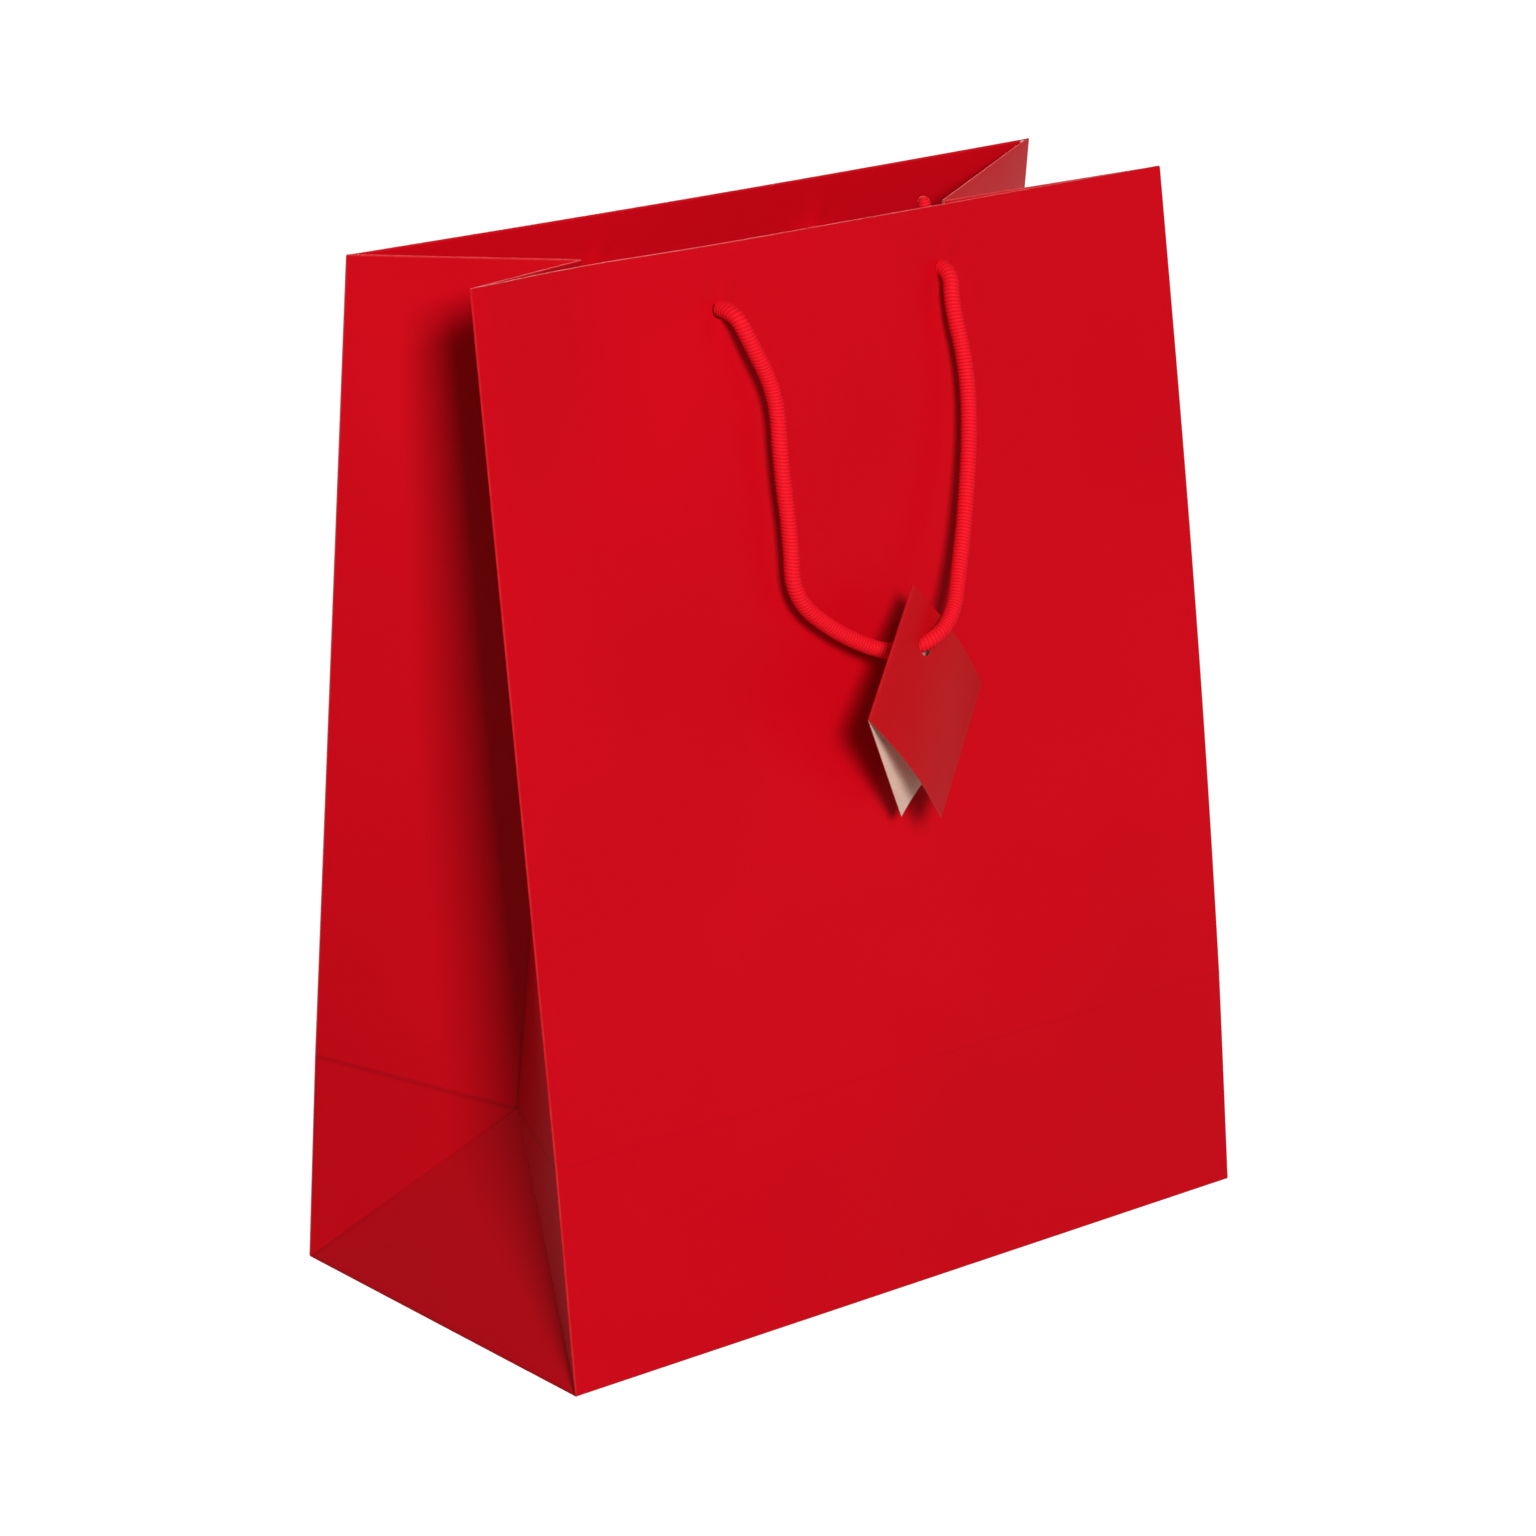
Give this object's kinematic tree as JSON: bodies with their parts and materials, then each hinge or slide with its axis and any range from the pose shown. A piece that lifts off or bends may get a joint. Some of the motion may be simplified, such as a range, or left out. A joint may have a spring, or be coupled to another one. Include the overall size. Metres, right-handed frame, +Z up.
{
  "type": "gift bag",
  "caption": "Red paper gift bag with gusseted sides, cord handles and a small folded tag on the front cord.",
  "frame": {"origin": "middle of the base, on the surface that the bag stands on", "axes": "+X across the front wall, +Y from the front wall to the rear wall, +Z up to the mouth"},
  "size_m": [0.265, 0.1498, 0.3302],
  "materials": {
    "red_paper": "satin laminated",
    "paper_flap": "satin laminated outside, uncoated white inside",
    "top_card": "matte",
    "base_card": "matte grey board",
    "cord": "ribbed braid",
    "knot": "ribbed braid",
    "tag_card": "matte red outside, white inside"
  },
  "bodies": {
    "base": {"front_bottom_flap": "paper_flap", "rear_bottom_flap": "paper_flap", "left_bottom_flap": "paper_flap", "right_bottom_flap": "paper_flap", "base_card": "base_card"},
    "front": {"front_panel": "red_paper", "front_top_card": "top_card", "front_hem": "red_paper", "front_seam_flap": "paper_flap", "front_left_knot": "knot", "front_right_knot": "knot"},
    "rear": {"rear_panel": "red_paper", "rear_top_card": "top_card", "rear_hem": "red_paper", "rear_left_knot": "knot", "rear_right_knot": "knot"},
    "left_front_fold": {"left_front_gusset": "red_paper", "left_front_gusset_hem": "red_paper", "left_front_gusset_foot": "red_paper"},
    "left_rear_fold": {"left_rear_gusset": "red_paper", "left_rear_gusset_hem": "red_paper", "left_rear_gusset_foot": "red_paper"},
    "right_front_fold": {"right_front_gusset": "red_paper", "right_front_gusset_hem": "red_paper", "right_front_gusset_foot": "red_paper"},
    "right_rear_fold": {"right_rear_gusset": "red_paper", "right_rear_gusset_hem": "red_paper", "right_rear_gusset_foot": "red_paper"},
    "left_base_fold": {"left_base_gusset": "red_paper"},
    "right_base_fold": {"right_base_gusset": "red_paper"},
    "front_handle": {"front_handle_cord": "cord"},
    "rear_handle": {"rear_handle_cord": "cord"},
    "tag_rear": {"tag_rear_leaf": "tag_card"},
    "tag_front": {"tag_front_leaf": "tag_card"}
  },
  "joints": [
    {"name": "mouth_front", "type": "hinge", "parent": "base", "child": "front", "pos_m": [0, -0.07, 0], "axis": [1, 0, 0], "range_deg": [-4, 3.5], "stiffness_Nm_per_rad": 0.6},
    {"name": "mouth_rear", "type": "hinge", "parent": "base", "child": "rear", "pos_m": [0, 0.07, 0], "axis": [-1, 0, 0], "range_deg": [-4, 3.5], "stiffness_Nm_per_rad": 0.6},
    {"name": "left_front_gusset_fold", "type": "hinge", "parent": "front", "child": "left_front_fold", "pos_m": [-0.1325, -0.07, 0], "axis": [0, 0.1158, 0.9933], "range_deg": [-20.8, 18.2], "deforming": ["left_front_gusset", "left_front_gusset_hem", "left_front_gusset_foot"]},
    {"name": "left_rear_gusset_fold", "type": "hinge", "parent": "rear", "child": "left_rear_fold", "pos_m": [-0.1325, 0.07, 0], "axis": [0, 0.1206, -0.9927], "range_deg": [-20.8, 18.2], "deforming": ["left_rear_gusset", "left_rear_gusset_hem", "left_rear_gusset_foot"]},
    {"name": "right_front_gusset_fold", "type": "hinge", "parent": "front", "child": "right_front_fold", "pos_m": [0.1325, -0.07, 0], "axis": [0, -0.1158, -0.9933], "range_deg": [-20.8, 18.2], "deforming": ["right_front_gusset", "right_front_gusset_hem", "right_front_gusset_foot"]},
    {"name": "right_rear_gusset_fold", "type": "hinge", "parent": "rear", "child": "right_rear_fold", "pos_m": [0.1325, 0.07, 0], "axis": [0, -0.1206, 0.9927], "range_deg": [-20.8, 18.2], "deforming": ["right_rear_gusset", "right_rear_gusset_hem", "right_rear_gusset_foot"]},
    {"name": "left_base_gusset_fold", "type": "hinge", "parent": "base", "child": "left_base_fold", "pos_m": [-0.1325, 0, 0], "axis": [0, -1, 0], "range_deg": [-8, 7]},
    {"name": "right_base_gusset_fold", "type": "hinge", "parent": "base", "child": "right_base_fold", "pos_m": [0.1325, 0, 0], "axis": [0, 1, 0], "range_deg": [-8, 7]},
    {"name": "front_handle_lift", "type": "hinge", "parent": "front", "child": "front_handle", "pos_m": [0, -0.03717, 0.30938], "axis": [-1, 0, 0], "range_deg": [0, 165]},
    {"name": "rear_handle_lift", "type": "hinge", "parent": "rear", "child": "rear_handle", "pos_m": [0, 0.03567, 0.30912], "axis": [1, 0, 0], "range_deg": [0, 165]},
    {"name": "tag_swing", "type": "hinge", "parent": "front_handle", "child": "tag_rear", "pos_m": [0.0066, -0.06364, 0.20313], "axis": [-0.7188, 0.5684, -0.4002], "range_deg": [0, 60]},
    {"name": "tag_open", "type": "hinge", "parent": "tag_rear", "child": "tag_front", "pos_m": [0.00714, -0.05994, 0.22113], "axis": [-0.6782, -0.3929, -0.621], "range_deg": [-4, 4], "stiffness_Nm_per_rad": 0.003}
  ],
  "couplings": [
    {"joint": "mouth_rear", "follows": "mouth_front", "ratio": 1},
    {"joint": "left_front_gusset_fold", "follows": "mouth_front", "ratio": 5.2},
    {"joint": "left_rear_gusset_fold", "follows": "mouth_front", "ratio": 5.2},
    {"joint": "right_front_gusset_fold", "follows": "mouth_front", "ratio": 5.2},
    {"joint": "right_rear_gusset_fold", "follows": "mouth_front", "ratio": 5.2},
    {"joint": "left_base_gusset_fold", "follows": "mouth_front", "ratio": 2},
    {"joint": "right_base_gusset_fold", "follows": "mouth_front", "ratio": 2}
  ]
}
